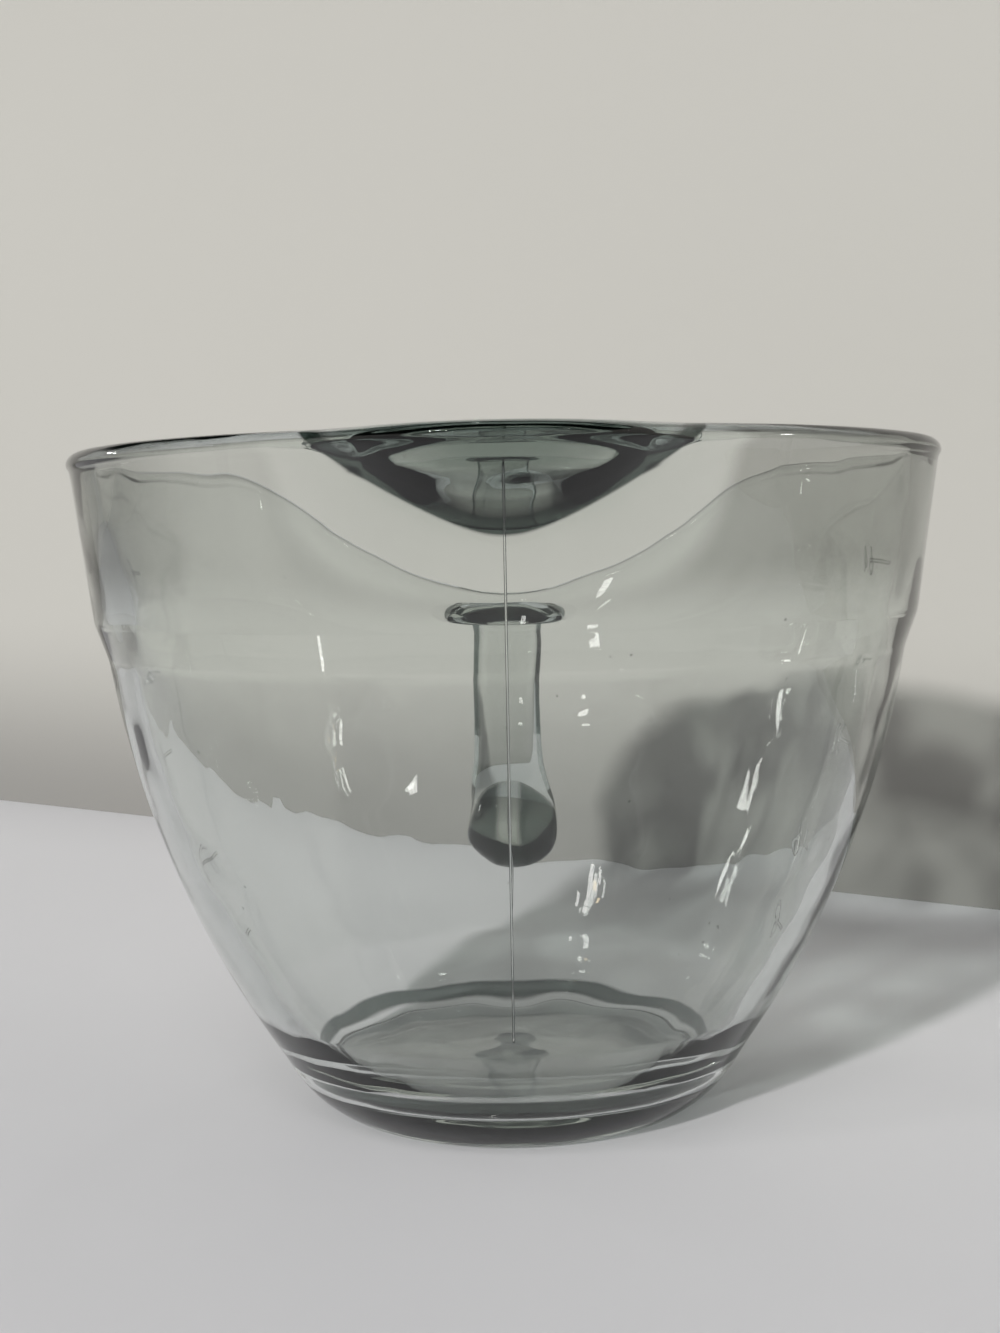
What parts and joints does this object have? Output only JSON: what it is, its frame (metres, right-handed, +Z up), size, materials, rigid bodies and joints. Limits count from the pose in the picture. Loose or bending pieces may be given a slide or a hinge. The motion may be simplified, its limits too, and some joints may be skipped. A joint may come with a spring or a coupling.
{
  "type": "batter bowl",
  "caption": "Tapered pressed-glass batter bowl with a thick flat foot, a stepped upper band, a wide pouring spout, raised measuring marks and an open-ended handle.",
  "frame": {"origin": "centre of the flat standing face, on the bowl's axis", "axes": "+Z up along the bowl's axis, -Y towards the spout, +Y towards the handle, +X to the right as the spout faces the viewer"},
  "size_m": [0.197, 0.254, 0.15],
  "materials": {
    "clear_glass": "clear pressed soda-lime glass, fire-polished",
    "thick_glass": "the same glass where it is thick, with a grey-green tint",
    "raised_glass": "raised lines and figures of the same glass"
  },
  "bodies": {
    "root": {"foot": "thick_glass", "floor": "thick_glass", "heel": "thick_glass", "lower_wall": "clear_glass", "shoulder": "clear_glass", "upper_band": "clear_glass", "rim_bead": "clear_glass", "pour_spout": "clear_glass", "spout_lip": "clear_glass", "handle_root": "thick_glass", "handle_grip": "thick_glass", "handle_end": "thick_glass", "front_seam": "raised_glass", "back_seam": "raised_glass", "left_scale_lines": "raised_glass", "left_scale_figures": "raised_glass", "right_scale_lines": "raised_glass", "right_scale_figures": "raised_glass"}
  },
  "joints": []
}
